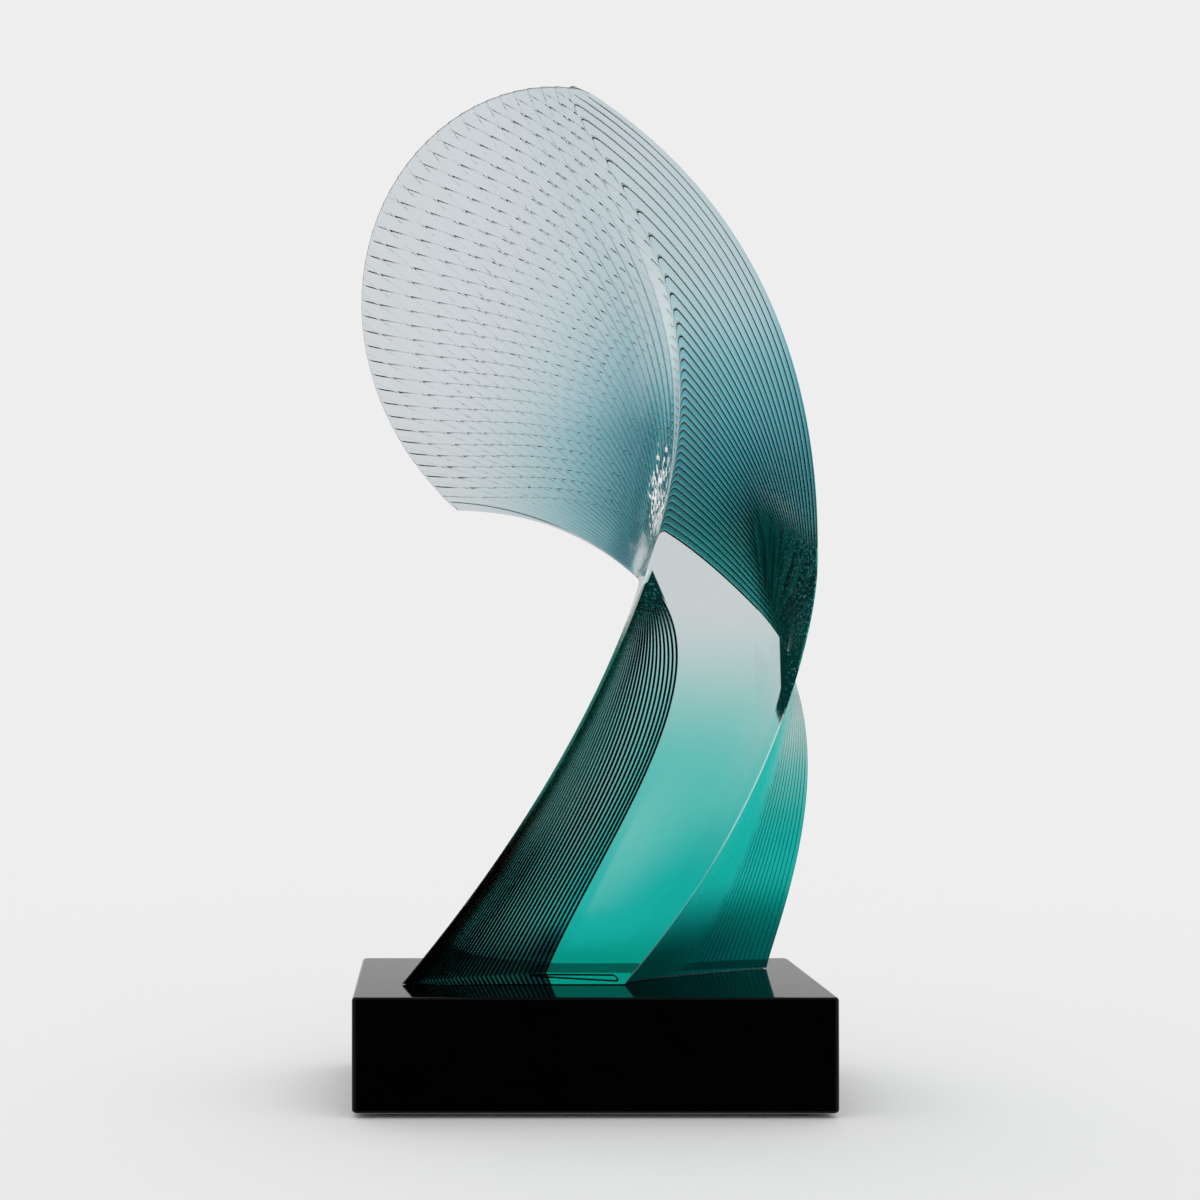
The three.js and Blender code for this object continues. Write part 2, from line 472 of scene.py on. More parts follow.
# Marks on faces: the first says how much of the painted light and shade shows, and the others choose its
# colour
def newMarks(grid):
    rows, cols = grid.shape[:2]
    names = ("paintedLight", "creamHighlight", "fold", "whiteHighlight", "lobe", "strip")
    return {name: np.zeros((rows - 1, cols - 1)) for name in names}


def clearTips(marks):
    rows = len(marks["paintedLight"])
    for row in range(rows):
        clear = ribs["tipClear"][int(row > (rows + 1) * ribs["rimFrom"][0])]
        marks["paintedLight"][row, -clear:] = 0


# Painted shade line on a corner of a left step, along the edge of one layer
def leftLineShade(step, layer):
    curve = middles(lefts[layer])
    height = heights(curve)
    width = np.abs(middles(leftWidths[step]))
    pale = rise(height, "flankPaleFrom") * fall(height, "flankPaleTo")
    front = fall(shares[step], "flankPaleSpan")
    paintedLight = rise(width, "ribWidth") * (1 - ribs["flankPale"] * pale * front)
    away = np.abs(leftOf(curve[low:], crest))
    upper = between(ribs["fanLine"], fall(away, "crestSpan"))
    upper = upper * (1 - ribs["topFade"] * rise(height[low:], "topFrom"))
    paintedLight[low:] = upper * rise(away, "crestGap") * rise(width[low:], "fanWidth")
    return paintedLight


# Painted shade on the ribs of the left side and the dark apex under the neck, and painted white sparkles
# above it beside the crest
def markLeft():
    marks = newMarks(leftGrid)
    chance = np.random.default_rng(ribs["sparkleSeed"])
    for i in range(count - 1):
        rows = stepRows(i)
        paintedLight = marks["paintedLight"][rows]
        paintedLight[nearRows] = leftLineShade(i, i)
        paintedLight[farRows] = leftLineShade(i, i + 1)
        paintedLight[nearRows, low:] *= ribs["fanInner"]

        curve = middles(lefts[i])
        lower, upper = np.split(heights(curve), [low])
        width = np.abs(middles(leftWidths[i]))[:low]
        apex = rise(lower, "apex") * rise(width, "apexWidth")
        inward = np.abs(leftOf(curve[:low], lefts[0][:low + 1]))
        strip = fall(inward, "stripSpan") * fall(lower, "stripTop")
        dark = np.maximum(ribs["foldShade"] * apex, ribs["stripShade"] * strip)
        marks["fold"][rows][:riserRow, :low] = apex
        marks["strip"][rows][:, :low] = strip
        paintedLight[:, :low] = np.maximum(paintedLight[:, :low], dark)

        away = np.abs(leftOf(curve[low:], crest))
        spark = rise(upper, "sparkleLow") * fall(upper, "sparkleHigh")
        spark *= ribs["sparkleShare"] * fall(away, "sparkleSpan")
        spark *= fall(i, "sparkleLayers")
        tall = ribs["sparkleRows"]
        whiteHighlight = np.repeat(chance.random((rowsPerStep // tall, len(spark))), tall, axis=0) < spark
        paintedLight[:, low:][whiteHighlight] = 1.0
        marks["whiteHighlight"][rows][:, low:][whiteHighlight] = 1.0

    # Painted shade lines on the fan's lower border and on the back edge under the neck
    edge = lefts[-2]
    toTip = np.linalg.norm(middles(edge)[low:] - edge[-1], axis=1)
    paintedLight[nearRows, low:] = ribs["borderLine"] * fall(toTip, "borderSpan")
    marks["paintedLight"][backRows, :low - ribs["borderStop"]] = 1.0
    markCrest(marks)
    clearTips(marks)
    return marks


# Painted highlight along the crest and neck, and a green painted rim light under it, on the rounded
# front edge
def markCrest(marks):
    lower, upper = np.split(heights(middles(lefts[0])), [low])
    rows = stepRows(0)
    marks["paintedLight"][rows, low:] = ribs["crestPale"] * fall(upper, "crestPaleTop")
    marks["paintedLight"][rows][treadRow, low:] *= between((ribs["crestFlat"], 1), rise(upper, "crestFlatFrom"))
    marks["whiteHighlight"][rows, low:] = 1.0
    rows = slice(ribs["neckRow"], lead - 1)
    pale = rise(lower, "neckPaleFrom")
    green = rise(lower, "edgeGreenFrom") * (1 - pale)
    marks["paintedLight"][rows, :low] = ribs["neckPale"] * pale + ribs["edgeGreen"] * green
    marks["whiteHighlight"][rows, :low] = pale
    marks["strip"][rows, :low] = 1.0


# Painted shade dashes where the right steps cross in front of the left ones
def dashes(layer, luck):
    points = middles(rights[layer])
    height = heights(points)
    sides = np.array([leftOf(points, edge[low:]) for edge in lefts])
    passed = (sides > 0).sum(axis=0)
    cols = np.arange(len(points))
    near = np.abs(sides[np.clip(passed - 1, 0, count - 1), cols])
    far = np.abs(sides[np.clip(passed, 0, count - 1), cols])
    share = near / np.maximum(near + far, tiny)
    upper = rise(height, "dotTop")
    dot = fall(middles(pasts[layer]), "dotSpan") * (1 - upper)
    start, full = (between(ends, dot) for ends in zip(ribs["dashFrom"], ribs["dotFrom"]))
    dash = smooth(share, start, full) * fall(share, "dashTo")
    even = 1 - ribs["dashUneven"] * luck[layer, passed] * (1 - ribs["evenTop"] * upper)
    return dash * even * (1 - ribs["gap"] * spot(points[:, 0], height, ribs["gapX"], ribs["gapZ"]))


# Painted shade line on the near corner of a right step above the waist: arcs before the crest, dashes
# past it
def outerLineShade(layer, lobeCover, outward, luck):
    cut = cuts[layer]
    curve = middles(rights[layer])[cut:]
    height = heights(curve)
    past = middles(pasts[layer])[cut:]
    arc = between(ribs["arcLineShade"], rise(height, "arcSpan"))
    arc = arc + (lobeCover[cut:] - arc) * outward[cut:]
    toTip = np.linalg.norm(curve - rights[layer][-1], axis=1)
    rim = fall(toTip, "rimSpan") * rise(shares[layer], "rimFrom")
    upper = rise(height, "dotTop")
    start, full = (between(ends, upper) for ends in zip(ribs["dashStart"], ribs["topStart"]))
    dash = np.maximum(dashes(layer, luck)[cut:], rim) * smooth(past, start, full)
    return np.where(past > 0, dash, arc)


# Share of the way from the first to the last right edge at the same height, below the waist
def lobeShare(curve):
    edges = [edge[:low] for edge in (rights[0], rights[-1])]
    first, last = (np.interp(curve[:, 1], edge[:, 1], edge[:, 0]) for edge in edges)
    return (curve[:, 0] - first) / np.maximum(last - first, ribs["lobeLeast"])


# Painted lines of the right side: the lobe's cover below the waist; shade arcs, cream highlights and
# shade dashes above it
def markRight():
    marks = newMarks(rightGrid)
    luck = np.random.default_rng(ribs["dashSeed"]).random((count, count + 1))
    for i in range(count - 1):
        rows = stepRows(i)
        paintedLight = marks["paintedLight"][rows]
        outward = rise(middles(rightWidths[i]), "outwardWidth")
        outer = lobeShare(middles(rights[i]))
        line = ribs["lobeLine"] * rise(outer, "lobeLineFrom") * outward
        near, far = (
            line * (1 - ribs["lobePale"] * rise(heights(middles(edge)), "lobePaleFrom"))
            for edge in rights[i:i + 2]
        )
        near[cuts[i]:] = outerLineShade(i, near, outward, luck)
        # Painted cream highlight lines on the far corners, before the crest
        cut = cuts[i + 1]
        past = middles(pasts[i + 1])[cut:]
        inward = np.where(past > 0, 0.0, 1 - outward[cut:])
        far[cut:] = ribs["creamHighlightShare"] * fall(-past, "creamSpan") * inward
        paintedLight[nearRows] = near
        paintedLight[farRows] = far
        marks["creamHighlight"][rows][farRows, cut:] = inward

        # The lobe's ribs get an opaque cover in the resin's teal, darker to the foot with painted shade
        lobe = ribs["lobeCover"] * fall(outer[:low], "lobeSmooth") * outward[:low]
        marks["lobe"][rows, :low] = lobe > paintedLight[:, :low]
        paintedLight[:, :low] = np.maximum(paintedLight[:, :low], lobe)
    marks["paintedLight"][backRows, low:] = middles(pasts[-1])[low:] < 0
    markFold(marks)
    markWindowEdge(marks)
    clearTips(marks)
    return marks


# Painted shade: the fold above the waist, where all layers meet, is dark
def markFold(marks):
    for row in range(len(marks["paintedLight"])):
        # The last two rows of a step go with the next layer
        layer = min(max((row - lead + 2) // rowsPerStep, 0), count - 1)
        curve = middles(rights[layer])
        height = heights(curve)
        beyond = curve[:, 0] - ribs["foldX"]
        lean = ribs["foldLean"] * np.maximum(ribs["foldLevel"] - height, 0)
        side = rise(beyond - lean, "foldSoft")
        fold = fall(height + ribs["foldSlope"] * beyond, "foldTop")
        fold *= np.maximum(side, fall(height, "tailTop")) * rise(height, "tailFoot")
        width = middles(rightWidths[min(layer, count - 2)])
        fold *= np.where(height < ribs["tailTop"][0], rise(-width, "facingWidth"), 1.0)
        marks["fold"][row] = fold
        marks["creamHighlight"][row][fold > ribs["foldNoCream"]] = 0
        marks["lobe"][row][fold > ribs["foldNoLobe"]] = 0
        marks["paintedLight"][row] = np.maximum(marks["paintedLight"][row], ribs["foldShade"] * fold)


# Beside the window the rounded front edge is pale with painted highlight, and dark with painted shade
# behind that towards the foot
def markWindowEdge(marks):
    height = heights(middles(rights[0]))[:low]
    pale = rise(height, "edgePaleFrom")
    below = fall(height, "tailFoot")
    split = ribs["edgeLightRows"]
    light = (slice(0, split), ribs["edgeLight"], 1.0)
    dark = (slice(split, lead - 1), ribs["edgeDark"], 0.0)
    for rows, lower, whiteHighlight in (light, dark):
        paintedLight = (ribs["edgePale"] * pale + lower * (1 - pale)) * below
        marks["paintedLight"][rows, :low] = np.maximum(marks["paintedLight"][rows, :low], paintedLight)
        marks["whiteHighlight"][rows, :low] = np.maximum(pale, whiteHighlight) * below


# Painted shade: teal grows down the folded side, and is a spot in the fan beside the crest
def arcAndFanShade(height, past):
    arcs = ribs["arcShade"] * np.exp((ribs["arcTop"] - height) / ribs["arcFall"])
    arcs = arcs * (1 - ribs["arcPale"] * rise(height, "arcPaleFrom"))
    fan = ribs["fanShade"] * np.exp(-(np.maximum(past, 0) / ribs["fanFade"]) ** ribs["fanEase"])
    fan = fan * np.exp(-np.maximum(height - ribs["fanTop"], 0) / ribs["fanRise"])
    beside = fall(past, "besideSpan") * rise(height, "besideFrom")
    under = rise(past, "underSpan") * fall(height, "underFrom")
    fan = fan * (1 - ribs["besidePale"] * beside) * (1 - ribs["underPale"] * under)
    return np.minimum(np.where(past > 0, fan, arcs), ribs["shadeMost"])


# Painted light taken back from the painted shade inside the fan
def fanLift(past):
    return ribs["fanLift"] * rise(past, "liftSpan")


# Painted shade of a right row, with a painted shadow beside the fold, less in the fan, and painted shade
# at the foot
def rightShade(row):
    step, part, layer = stepOf(row)
    edge = rights[layer]
    height = heights(edge)
    past = pasts[layer]
    facing = rise(-rightWidths[step], "facingWidth")
    arcShare = ribs["shadeInner"] if farRows.start <= part < farRows.stop else ribs["shadeOuter"]
    fanShare = between((ribs["crestShade"], 1), rise(past, "crestShadeSpan"))
    paintedShade = arcAndFanShade(height, past) * np.where(past > 0, fanShare, arcShare) * facing
    paintedShade *= ribs["frontShade"] if row < lead else 1.0
    shade = spot(edge[:, 0], height, ribs["shadeX"], ribs["shadeZ"])
    paintedShade += ribs["shade"] * shade * (past < 0) * facing
    paintedShade -= fanLift(past)
    paintedShade[:low] *= rise(height[:low], "waistSpan")
    back = 1 - ribs["footBack"] * rise(shares[layer], "footBackSpan")
    paintedShade[:low] = np.maximum(paintedShade[:low], ribs["footShade"] * (fall(height[:low], "footSpan") * back))
    return paintedShade


# Painted shade of a left row, and how much painted grey reflection its flank shows
def leftShade(row):
    layer = stepOf(row)[2]
    u = shares[layer]
    lower, upper = np.split(lefts[layer], [low])
    height = heights(lower)
    dark = between(ribs["flankDark"], rise(height, "flankDarkFrom"))
    dark = dark * fall(u, "flankDarkSpan") * fall(height, "flankDarkTo")
    dark = dark + ribs["flankFoot"] * fall(height, "flankFootTo")
    flank = between(ribs["flankShade"], rise(height, "flankSpan")) + dark
    greyReflection = ribs["flankGrey"] * fall(u, "flankGreySpan") * fall(height, "flankGreyTo")
    fan = -fanLift(np.abs(leftOf(upper, crest)))
    return np.concatenate((flank, fan)), np.concatenate((greyReflection, np.zeros(len(upper))))


# Painted shade of the back face, which keeps it up to the edge it shares with the right side
def capShade(points):
    places = points.reshape(-1, 3)[:, ::2] / mm
    past = leftOf(places - np.array((0.0, fanShape["foot"])), crest)
    paintedShade = arcAndFanShade(places[:, 1], past) * rise(past, "capSpan") - fanLift(past)
    return paintedShade.reshape(points.shape[:-1])


# Painted shade of all points, and the painted grey reflection of those on the left side
def stackShades(caps):
    rows = range(len(leftGrid))
    left, greyReflection = (np.array(values) for values in zip(*(leftShade(row) for row in rows)))
    right = np.array([rightShade(row) for row in rows])
    front, back = (np.zeros(cap.shape[:2]) for cap in caps)
    left[[0, -1]] = 0
    right[[0, -1]] = 0
    right[-1, low:] = capShade(rightGrid[-1, low:])
    back[low:] = capShade(caps[1][low:])
    return np.concatenate([part.ravel() for part in (left, right, front, back)]), greyReflection.ravel()


def quads(index, flip):
    around = [index[:-1, :-1], index[:-1, 1:], index[1:, 1:], index[1:, :-1]]
    return np.stack(around[::-1] if flip else around, axis=2).reshape(-1, 4)


# Faces of both sides, the front and back face, the tips and, last, the sole
def stackFaces(parts):
    ends = np.cumsum([0] + [part.size // 3 for part in parts])
    left, right, front, back = (
        np.arange(start, end).reshape(part.shape[:2]) for start, end, part in zip(ends, ends[1:], parts)
    )
    tips = np.stack((left[1:, -1], left[:-1, -1], right[:-1, -1], right[1:, -1]), axis=1)
    faces = np.concatenate((
        quads(left, False),
        quads(right, True),
        quads(np.column_stack((left[0], front, right[0])), False),
        quads(np.column_stack((left[-1], back, right[-1])), True),
        tips,
    )).tolist()
    sole = (left[:, 0], back[0], right[::-1, 0], front[0, ::-1])
    return faces + [np.concatenate(sole).tolist()], len(tips)


def addValues(thing, name, domain, values):
    made = thing.data.attributes.new(name, "FLOAT", domain)
    made.data.foreach_set("value", values.astype(np.float32))


def makeCasting(material):
    rightMarks = markRight()
    leftMarks = markLeft()
    # Front and back faces are grids of their own between the two stepped sides
    across = np.linspace(0, 1, fanShape["capSteps"] + 1)[None, 1:-1, None]
    caps = [leftGrid[row][:, None] * (1 - across) + rightGrid[row][:, None] * across for row in (0, -1)]
    parts = (leftGrid, rightGrid, *caps)
    vertices = np.concatenate([part.reshape(-1, 3) for part in parts])
    faces, tipCount = stackFaces(parts)
    casting = newObject("fan_body", vertices.tolist(), faces, material)
    # The fan's tips are painted pale: a painted highlight
    tipMarks = {"paintedLight": ribs["tipPale"], "whiteHighlight": 1.0}
    for name in leftMarks:
        sides = np.concatenate((leftMarks[name].ravel(), rightMarks[name].ravel()))
        values = np.zeros(len(faces))
        values[:len(sides)] = sides
        values[-1 - tipCount:-1] = tipMarks.get(name, 0.0)
        addValues(casting, name, "FACE", values)
    paintedShades, greys = stackShades(caps)
    addValues(casting, "paintedShade", "POINT", paintedShades)
    addValues(casting, "greyReflection", "POINT", np.concatenate((greys, np.zeros(len(vertices) - len(greys)))))
    casting.data.set_sharp_from_angle(angle=math.radians(fanShape["sharpAngle"]))
    weighted = casting.modifiers.new("flatTreads", "WEIGHTED_NORMAL")
    weighted.keep_sharp = True
    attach(casting, "root")
    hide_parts("fan_casting")
    return casting


# Colours that light keeps on its way through the casting. Places in metres.
resinLook = {
    "clear": (0.69, 0.745, 0.755, 1), "clearSpan": (0.137, 0.215),
    "teal": (0.135, 0.61, 0.555, 1), "tealSpan": (0.09, 0.15),
    "deep": (0.01, 0.49, 0.43, 1), "deepSpan": (0.053, 0.08), "foot": (0.001, 0.36, 0.27, 1),
    "sky": (0.69, 0.765, 0.8, 1), "skySpan": (0.24, 0.32),
    "roughness": 0.02, "roughScale": 60, "index": 1.5, "lineRoughness": 0.4,
    # Clouds in the window, along its sides and in the lobe beside it
    "cloud": 0.026, "cloudScale": 9, "sideSoft": (-0.003, 0),
    "glow": 0.04, "glowX": -0.0429, "glowLean": 0.528, "glowSpan": (0, 0.037),
    "glowFrom": (0.06, 0.085), "glowTo": (0.105, 0.15),
    "shine": 0.012, "shineX": 0.0095, "shineLean": 0.457, "shineSpan": (0, 0.02),
    "shineFrom": (0.11, 0.13),
    "lobeDrop": 0.016, "lobeSide": (-0.014, -0.004), "lobeRise": 2.4, "lobeRiseFrom": (0.115, 0.155),
    # What one unit of painted shade keeps
    "flank": (0.05, 0.455, 0.52), "fold": (0.17, 0.455, 0.52), "fanFrom": (0.21, 0.225),
    "arcGreen": (0.115, 0.64, 0.625), "arcBlue": (0.1, 0.455, 0.51), "arcSpan": (0.232, 0.285),
    "arcFrom": (0.17, 0.18), "arcLeft": (0.026, 0.036),
    "greyReflection": (0.32, 0.275, 0.26, 1), "greyFoot": (0.006, 0.018, 0.017, 1), "greyFrom": (0.056, 0.078),
    # Painted lines of light and shade, and the painted shade of the fold with its streaks and glinting
    # specks
    "navy": (0.004, 0.01, 0.016, 1), "navyFrom": (0.15, 0.3), "green": (0.001, 0.012, 0.01, 1),
    "creamHighlight": (0.95, 0.9, 0.8, 1), "whiteHighlight": (1, 0.99, 0.98, 1),
    "foldDark": (0.001, 0.055, 0.052, 1), "foldGreen": (0.003, 0.2, 0.18, 1),
    "foldLow": (0.012, 0.2, 0.155, 1), "foldLowTo": (0.185, 0.215),
    "streakX": 0.083, "streakZ": 0.196, "streakCount": 36, "streakRun": 25,
    "streakShare": (0.38, 0.62),
    "speckGlint": (0.16, 0.62, 0.58, 1), "speckNoise": (800, 1), "speckShare": (0.52, 0.7),
    "speckSpan": (0.08, 0.095), "apexSpeck": 0.6, "apexSpan": (0.045, 0.05),
    "lobeFoot": (0.0006, 0.09, 0.074, 1), "lobeLow": (0.012, 0.62, 0.54, 1),
    "lobeHigh": (0.26, 0.52, 0.5, 1), "lobeLowFrom": (0.058, 0.096), "lobeHighFrom": (0.15, 0.18),
    "stripLow": (0.0008, 0.002, 0.002, 1), "stripHigh": (0.022, 0.17, 0.13, 1),
    "stripFrom": (0.1, 0.14),
    # Painted shade: dark corners on the front face
    "cornerSoft": (0, 0.0006), "cornerDark": (0.0008, 0.028, 0.026, 1), "cornerSpeck": 0.35,
    "frontFace": (-0.0249, -0.0246),
    "apexTop": (0.0272, 0.2275), "apexLeft": 0.41, "apexRight": -0.43, "apexFrom": (0.211, 0.216),
    "tailTop": (0.0812, 0.199), "tailLean": 0.0256, "tailSlope": 1.7, "tailFrom": (0.158, 0.163),
    # Painted dark ring on the sole
    "ringFrom": (-0.024, 0.0135), "ringTo": (0.0122, 0.0016), "ringFlat": 10.4,
    "ringRound": 0.00125, "ringEase": 0.6, "ringLine": (0.0003, 0.0005),
    "soleTop": (0.05, 0.0502),
}


# Height that chooses the colour: cloudy, raised along both sides of the window, lowered in the lobe
def cloudedHeight(paint, x, z):
    look = resinLook
    height = z + (paint.noise(look["cloudScale"]) - 0.5) * look["cloud"]
    inward = x - (look["glowX"] + look["glowLean"] * z)
    glow = inward.eased(*look["sideSoft"]) * inward.faded(*look["glowSpan"])
    height = height + look["glow"] * glow * z.eased(*look["glowFrom"]) * z.faded(*look["glowTo"])
    inward = look["shineX"] + look["shineLean"] * z - x
    shine = inward.eased(*look["sideSoft"]) * inward.faded(*look["shineSpan"])
    height = height + look["shine"] * shine * z.eased(*look["shineFrom"])
    lobe = inward.faded(*look["lobeSide"]) * (1 - look["lobeRise"] * z.eased(*look["lobeRiseFrom"]))
    return height - look["lobeDrop"] * lobe


def glassColour(paint, x, z, height):
    look = resinLook
    colour = paint.mix(height.eased(*look["deepSpan"]), look["foot"], look["deep"])
    colour = paint.mix(height.eased(*look["tealSpan"]), colour, look["teal"])
    colour = paint.mix(height.eased(*look["clearSpan"]), colour, look["clear"])
    colour = paint.mix(z.eased(*look["skySpan"]), colour, look["sky"])
    # Painted shade: green between the lowest arcs, blue between the upper ones
    paintedShade = paint.mark("paintedShade")
    arcShare = z.eased(*look["arcFrom"]) * x.eased(*look["arcLeft"])
    arcUpper = z.eased(*look["arcSpan"])
    fanShare = z.eased(*look["fanFrom"])
    kept = {}
    for n, name in enumerate(("Red", "Green", "Blue")):
        plain = between((look["flank"][n], look["fold"][n]), fanShare)
        arcs = between((look["arcGreen"][n], look["arcBlue"][n]), arcUpper)
        kept[name] = between((plain, arcs), arcShare) ** paintedShade
    colour = paint.mix(1.0, colour, paint.node("CombineColor", kept), "MULTIPLY")
    # Painted grey reflection on the lower left flank, darker towards the foot
    greyReflection = paint.mix(z.eased(*look["greyFrom"]), look["greyFoot"], look["greyReflection"])
    return paint.mix(paint.mark("greyReflection"), colour, greyReflection)


# Painted shade: two dark corners on the front face, the point of the apex under the neck and the tail at
# the waist
def darkCorners(x, y, z):
    look = resinLook
    soft = look["cornerSoft"]
    topX, topZ = look["apexTop"]
    left = topX + look["apexLeft"] * (z - topZ)
    right = topX + look["apexRight"] * (z - topZ)
    apex = (x - left).eased(*soft) * (right - x).eased(*soft) * z.eased(*look["apexFrom"])
    topX, topZ = look["tailTop"]
    left = topX + look["tailLean"] * (topZ - z)
    top = topZ - look["tailSlope"] * (x - topX)
    tail = (x - left).eased(*soft) * (top - z).eased(*soft) * z.eased(*look["tailFrom"])
    return (apex + tail) * y.faded(*look["frontFace"])


# Painted shade of the fold, with streaks that meet at its lower corner
def foldColour(paint, x, z):
    look = resinLook
    across = x - look["streakX"]
    turn = across.maths("ARCTAN2", across, z - look["streakZ"])
    values = {"X": turn * look["streakCount"], "Y": z * look["streakRun"]}
    values = {"Vector": paint.node("CombineXYZ", values), "Scale": 1.0, "Detail": 1.0}
    streak = paint.node("TexNoise", values)
    colour = paint.mix(streak.eased(*look["streakShare"]), look["foldDark"], look["foldGreen"])
    return paint.mix(z.eased(*look["foldLowTo"]), look["foldLow"], colour)


# Colours of the painted light and shade: dark shade lines, fold, corners, lobe cover and strip, cream
# and white highlights
def lineColour(paint, x, z, height, corners):
    look = resinLook
    # Painted glinting specks along the outer edge of the fold and in the apex
    outer = x.eased(*look["speckSpan"]) + look["apexSpeck"] * x.faded(*look["apexSpan"])
    grain = paint.noise(*look["speckNoise"]).eased(*look["speckShare"]) * outer
    fold = paint.mix(grain, foldColour(paint, x, z), look["speckGlint"])
    corner = paint.mix(grain * look["cornerSpeck"], look["cornerDark"], look["speckGlint"])
    lobe = paint.mix(z.eased(*look["lobeLowFrom"]), look["lobeFoot"], look["lobeLow"])
    lobe = paint.mix(z.eased(*look["lobeHighFrom"]), lobe, look["lobeHigh"])
    strip = paint.mix(z.eased(*look["stripFrom"]), look["stripLow"], look["stripHigh"])
    line = paint.mix(height.eased(*look["navyFrom"]), look["green"], look["navy"])
    line = paint.mix(paint.mark("fold"), line, fold)
    line = paint.mix(corners, line, corner)
    line = paint.mix(paint.mark("lobe"), line, lobe)
    line = paint.mix(paint.mark("strip"), line, strip)
    # Cream painted highlight
    line = paint.mix(paint.mark("creamHighlight"), line, look["creamHighlight"])
    # White painted highlight
    return paint.mix(paint.mark("whiteHighlight"), line, look["whiteHighlight"])


# Painted reflection: a dark ring on the sole, seen through the foot of the window
def soleRing(x, y, z):
    look = resinLook
    startX, startY = look["ringFrom"]
    endX, endY = look["ringTo"]
    runX = endX - startX
    runY = (endY - startY) / look["ringFlat"]
    acrossX = x - startX
    acrossY = (y - startY) / look["ringFlat"]
    share = ((acrossX * runX + acrossY * runY) / (runX**2 + runY**2)).held()
    gapX = acrossX - runX * share
    gapY = acrossY - runY * share
    gap = (gapX * gapX + gapY * gapY) ** 0.5 - look["ringRound"] * share ** look["ringEase"]
    return abs(gap).faded(*look["ringLine"]) * z.faded(*look["soleTop"])


def makeResin():
    paint = newMaterial("tealResin")
    look = resinLook
    x, y, z = (paint.part(axis) for axis in "XYZ")
    height = cloudedHeight(paint, x, z)
    corners = darkCorners(x, y, z)
    glass = paint.principled({
        "Base Color": glassColour(paint, x, z, height),
        "Roughness": look["roughness"] * (paint.noise(look["roughScale"]) + 0.5),
        "IOR": look["index"], "Transmission Weight": 1.0,
    })
    # Opaque shader for the painted light and shade
    line = paint.principled({
        "Base Color": lineColour(paint, x, z, height, corners),
        "Roughness": look["lineRoughness"], "Specular IOR Level": 0.0,
    })
    # How much of the painted light and shade covers the glass
    paintedLight = (paint.mark("paintedLight") + soleRing(x, y, z) + corners).held()
    return paint.surface(paint.node("MixShader", {0: paintedLight, 1: glass, 2: line}))


# Inset and rise of a rounded edge, from flat to upright
def quarterTurn(radius, steps):
    angles = [math.pi / 2 * k / steps for k in range(steps + 1)]
    return [(radius * (1 - math.sin(angle)), radius * (1 - math.cos(angle))) for angle in angles]


# Faces between loops of points, with both ends closed
def loopFaces(loop, rings):
    last = (rings - 1) * loop
    faces = []
    for a in range(0, last, loop):
        for k in range(loop):
            n = (k + 1) % loop
            faces.append((a + k, a + n, a + loop + n, a + loop + k))
    faces.append(tuple(range(loop))[::-1])
    faces.append(tuple(range(last, last + loop)))
    return faces


# Base block: gloss black with rounded corners and edges
baseShape = {
    "width": 200, "depth": 120, "height": 47.5, "lift": 2, "corner": 3, "edge": 1.6,
    "cornerSteps": 8, "edgeSteps": 6, "flatWeight": 100,
}


def makeBase(material):
    shape = baseShape
    rings = quarterTurn(shape["edge"], shape["edgeSteps"])
    rings += [(inset, shape["height"] - z) for inset, z in reversed(rings)]
    vertices = []
    for inset, z in rings:
        x = shape["width"] / 2 - inset
        y = shape["depth"] / 2 - inset
        r = shape["corner"] - inset
        for cx, cy, start in ((1, 1, 0), (-1, 1, 1), (-1, -1, 2), (1, -1, 3)):
            for k in range(shape["cornerSteps"] + 1):
                angle = math.pi / 2 * (start + k / shape["cornerSteps"])
                vertices.append((
                    (cx * (x - r) + r * math.cos(angle)) * mm,
                    (cy * (y - r) + r * math.sin(angle)) * mm,
                    (z + shape["lift"]) * mm,
                ))
    faces = loopFaces(len(vertices) // len(rings), len(rings))
    block = newObject("base_lacquered", vertices, faces, material)
    weighted = block.modifiers.new("flatFaces", "WEIGHTED_NORMAL")
    weighted.weight = shape["flatWeight"]
    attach(block, "root")
    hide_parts("base_block")


lacquerLook = {
    "dark": (0.0003, 0.0003, 0.0003, 1), "pale": (0.001, 0.001, 0.0011, 1), "hazeNoise": (35, 4, 0.6),
    "roughness": (0.04, 0.09), "index": 1.155, "waveScale": 9, "wave": 0.02, "waveDeep": 0.002,
}


def makeLacquer():
    paint = newMaterial("blackLacquer")
    look = lacquerLook
    haze = paint.noise(*look["hazeNoise"])
    return paint.surface(paint.principled({
        "Base Color": paint.mix(haze, look["dark"], look["pale"]),
        "Roughness": between(look["roughness"], haze), "IOR": look["index"],
        "Normal": paint.bump(paint.noise(look["waveScale"]), look["wave"], look["waveDeep"]),
    }))


# Film of clear adhesive under the casting, a hair thinner than its gap so that no faces touch
filmShape = {"inset": 1.5, "bottom": 49.52, "top": 49.86}


def makeFilm(material):
    inset = filmShape["inset"]
    half = fanShape["depth"] / 2 - inset
    rightSide = []
    leftSide = []
    for u in shares:
        y = -half + 2 * half * u
        slide = u ** fanShape["slideEase"]
        rightSide.append((along("rightFootX", slide) - inset, y))
        leftSide.append((along("leftFootX", slide) + inset, y))
    outline = rightSide + leftSide[::-1]
    vertices = []
    for level in ("bottom", "top"):
        vertices += [(x * mm, y * mm, filmShape[level] * mm) for x, y in outline]
    film = newObject("film_adhesive", vertices, loopFaces(len(outline), 2), material, isSmooth=False)
    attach(film, "root")
    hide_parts("bond_film")


